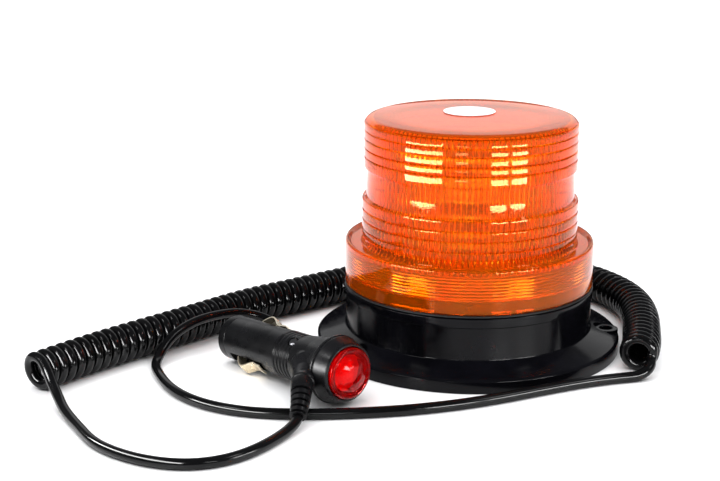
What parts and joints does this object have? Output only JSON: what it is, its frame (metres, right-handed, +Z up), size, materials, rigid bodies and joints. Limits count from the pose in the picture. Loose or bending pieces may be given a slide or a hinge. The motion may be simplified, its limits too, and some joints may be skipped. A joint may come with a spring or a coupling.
{
  "type": "LED warning beacon",
  "caption": "Round amber LED warning beacon with a magnetic flanged base, a curly cord and a switched 12 V socket plug.",
  "frame": {"origin": "on the beacon's axis, at the level of the surface that its base rests on", "axes": "+Z up along the dome's axis; the plug lies in front and to the left of the base, towards -X and -Y"},
  "size_m": [0.299, 0.2801, 0.1156],
  "materials": {
    "base_plastic": "glossy black moulding",
    "plug_plastic": "satin black moulding",
    "amber_lens": "glossy translucent amber",
    "red_lens": "glossy translucent red",
    "rubber": "dull",
    "cord_jacket": "glossy black jacket",
    "zinc_steel": "zinc plated",
    "ferrite": "dull ceramic magnet",
    "aluminium": "extruded",
    "circuit_board": "solder mask",
    "white_plastic": "moulded",
    "component_case": "component sleeve",
    "nickel": "nickel plated spring metal",
    "fuse_glass": "clear",
    "label_paper": "plain sticker"
  },
  "bodies": {
    "beacon": {"base_shell": "base_plastic", "board_spacer_1": "white_plastic", "board_spacer_2": "white_plastic", "board_spacer_3": "white_plastic", "cable_relief": "rubber", "capacitor_1": "component_case", "capacitor_2": "component_case", "cord_beacon_lead": "cord_jacket", "cord_coil": "cord_jacket", "cord_plug_lead": "cord_jacket", "fuse": "fuse_glass", "inductor": "component_case", "led_board_1": "circuit_board", "led_board_2": "circuit_board", "led_board_3": "circuit_board", "led_board_4": "circuit_board", "led_board_5": "circuit_board", "led_board_6": "circuit_board", "led_tower": "aluminium", "lens_gasket": "rubber", "magnet_ring": "ferrite", "magnet_yoke": "zinc_steel", "main_board": "circuit_board", "pin_spring": "zinc_steel", "plug_bezel": "plug_plastic", "plug_boot": "plug_plastic", "plug_housing": "plug_plastic", "plug_screw": "zinc_steel", "plug_tip_cap": "plug_plastic", "rubber_pad": "rubber", "switch_core": "white_plastic", "terminal_block": "component_case", "top_board": "circuit_board", "tower_screw": "zinc_steel", "yoke_screw_1": "zinc_steel", "yoke_screw_2": "zinc_steel", "yoke_screw_3": "zinc_steel"},
    "lens": {"dome_lens": "amber_lens", "top_label": "label_paper"},
    "switch": {"switch_button": "red_lens"},
    "tip_pin": {"tip_contact": "nickel"},
    "contact_front": {"contact_spring_front": "nickel"},
    "contact_back": {"contact_spring_back": "nickel"}
  },
  "joints": [
    {"name": "lens_twist", "type": "hinge", "parent": "beacon", "child": "lens", "pos_m": [0, 0, 0.033], "axis": [0, 0, 1], "range_deg": [0, 25]},
    {"name": "switch_press", "type": "slide", "parent": "beacon", "child": "switch", "axis": [-0.7121, 0.6999, -0.0559], "range_m": [0, 0.002], "stiffness_N_per_m": 1500},
    {"name": "tip_press", "type": "slide", "parent": "beacon", "child": "tip_pin", "axis": [0.7121, -0.6999, 0.0559], "range_m": [0, 0.003], "stiffness_N_per_m": 1500},
    {"name": "contact_front_press", "type": "slide", "parent": "beacon", "child": "contact_front", "axis": [0.4943, 0.5562, 0.6681], "range_m": [0, 0.002], "stiffness_N_per_m": 2000},
    {"name": "contact_back_press", "type": "slide", "parent": "beacon", "child": "contact_back", "axis": [-0.4943, -0.5562, -0.6681], "range_m": [0, 0.002], "stiffness_N_per_m": 2000}
  ]
}
